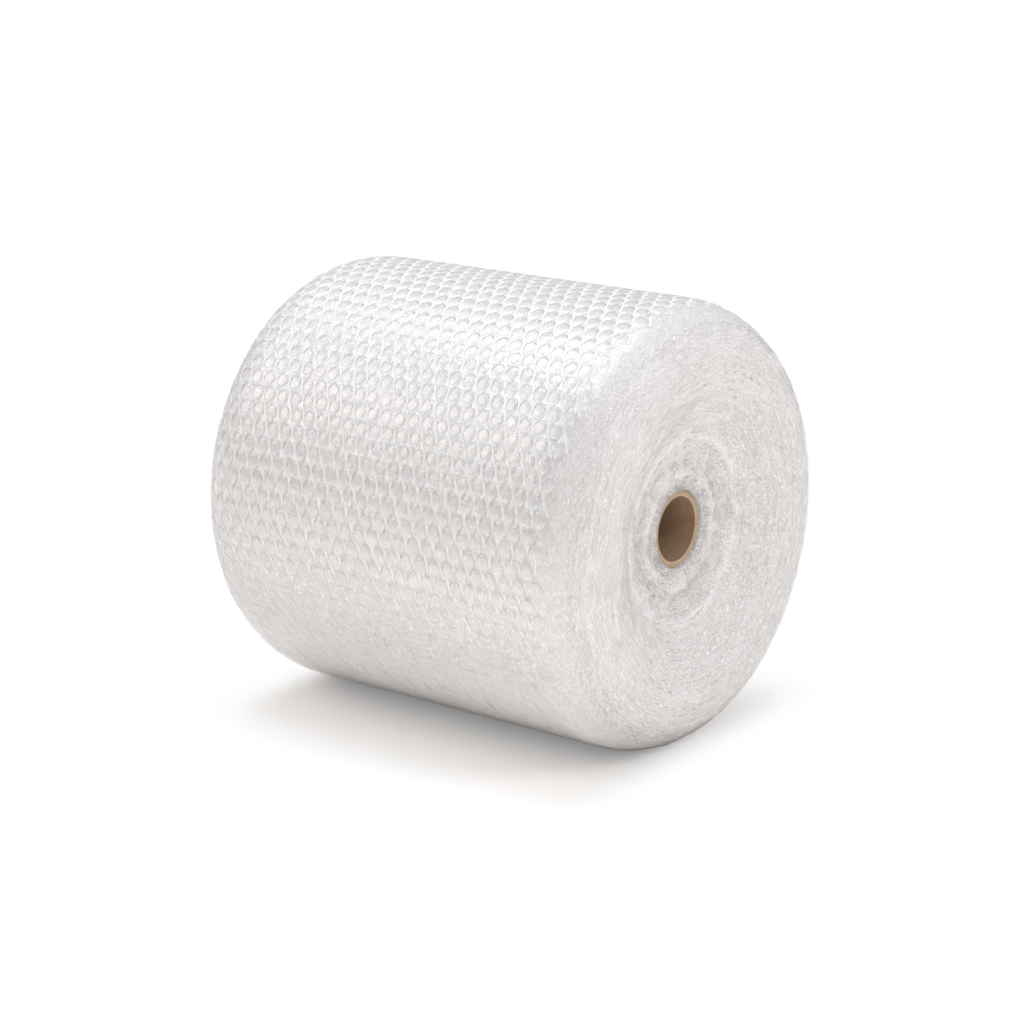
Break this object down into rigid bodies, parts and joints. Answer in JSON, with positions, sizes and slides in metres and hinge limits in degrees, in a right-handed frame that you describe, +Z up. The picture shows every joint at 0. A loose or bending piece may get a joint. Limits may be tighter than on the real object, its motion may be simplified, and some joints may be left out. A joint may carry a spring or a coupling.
{
  "type": "bubble wrap roll",
  "caption": "Roll of clear bubble film wound on an open cardboard core, with rounded shoulders and sunken ends, lying on its side on a small flat spot.",
  "frame": {"origin": "on the floor under the middle of the roll, at the centre of the flat spot", "axes": "+X along the core towards the end seen in the picture, +Z up"},
  "size_m": [0.3, 0.2848, 0.2806],
  "materials": {
    "bubble_film": "clear glossy polyethylene film, wound many turns deep so it reads as pale grey",
    "kraft_board": "plain brown kraft board, cut square"
  },
  "bodies": {
    "root": {"bubble_winding": "bubble_film", "cardboard_core": "kraft_board"}
  },
  "joints": []
}
